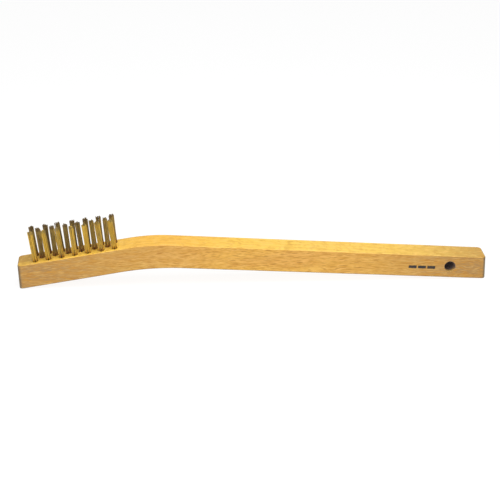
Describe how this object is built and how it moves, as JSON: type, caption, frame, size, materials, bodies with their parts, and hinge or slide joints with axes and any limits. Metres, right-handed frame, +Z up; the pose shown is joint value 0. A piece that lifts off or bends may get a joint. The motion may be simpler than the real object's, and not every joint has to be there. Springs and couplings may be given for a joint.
{
  "type": "wire scratch brush",
  "caption": "Slim scratch brush: a bent hardwood bar whose short head carries three staggered rows of brass wire tufts, with a hang hole near the grip end.",
  "frame": {"origin": "on the surface that the brush rests on with its wires up, midway between the head end and the grip end and midway across the width", "axes": "+X runs from the head end to the grip end, +Y across the bar towards its back side, +Z up, the way the wires point"},
  "size_m": [0.1974, 0.011, 0.0296],
  "materials": {
    "beech": "sanded beech under a thin clear lacquer, straight grain with short darker flecks",
    "brass_wire": "hard drawn brass wire, slightly tarnished, with cut ends",
    "anchor_wire": "flat drawn steel wire, bare"
  },
  "bodies": {
    "root": {"handle": "beech", "tuft_front_1": "brass_wire", "tuft_front_2": "brass_wire", "tuft_front_3": "brass_wire", "tuft_front_4": "brass_wire", "tuft_front_5": "brass_wire", "tuft_front_6": "brass_wire", "tuft_front_7": "brass_wire", "tuft_middle_1": "brass_wire", "tuft_middle_2": "brass_wire", "tuft_middle_3": "brass_wire", "tuft_middle_4": "brass_wire", "tuft_middle_5": "brass_wire", "tuft_middle_6": "brass_wire", "tuft_back_1": "brass_wire", "tuft_back_2": "brass_wire", "tuft_back_3": "brass_wire", "tuft_back_4": "brass_wire", "tuft_back_5": "brass_wire", "tuft_back_6": "brass_wire", "tuft_back_7": "brass_wire", "anchor_front_1": "anchor_wire", "anchor_front_2": "anchor_wire", "anchor_front_3": "anchor_wire", "anchor_front_4": "anchor_wire", "anchor_front_5": "anchor_wire", "anchor_front_6": "anchor_wire", "anchor_front_7": "anchor_wire", "anchor_middle_1": "anchor_wire", "anchor_middle_2": "anchor_wire", "anchor_middle_3": "anchor_wire", "anchor_middle_4": "anchor_wire", "anchor_middle_5": "anchor_wire", "anchor_middle_6": "anchor_wire", "anchor_back_1": "anchor_wire", "anchor_back_2": "anchor_wire", "anchor_back_3": "anchor_wire", "anchor_back_4": "anchor_wire", "anchor_back_5": "anchor_wire", "anchor_back_6": "anchor_wire", "anchor_back_7": "anchor_wire"}
  },
  "joints": []
}
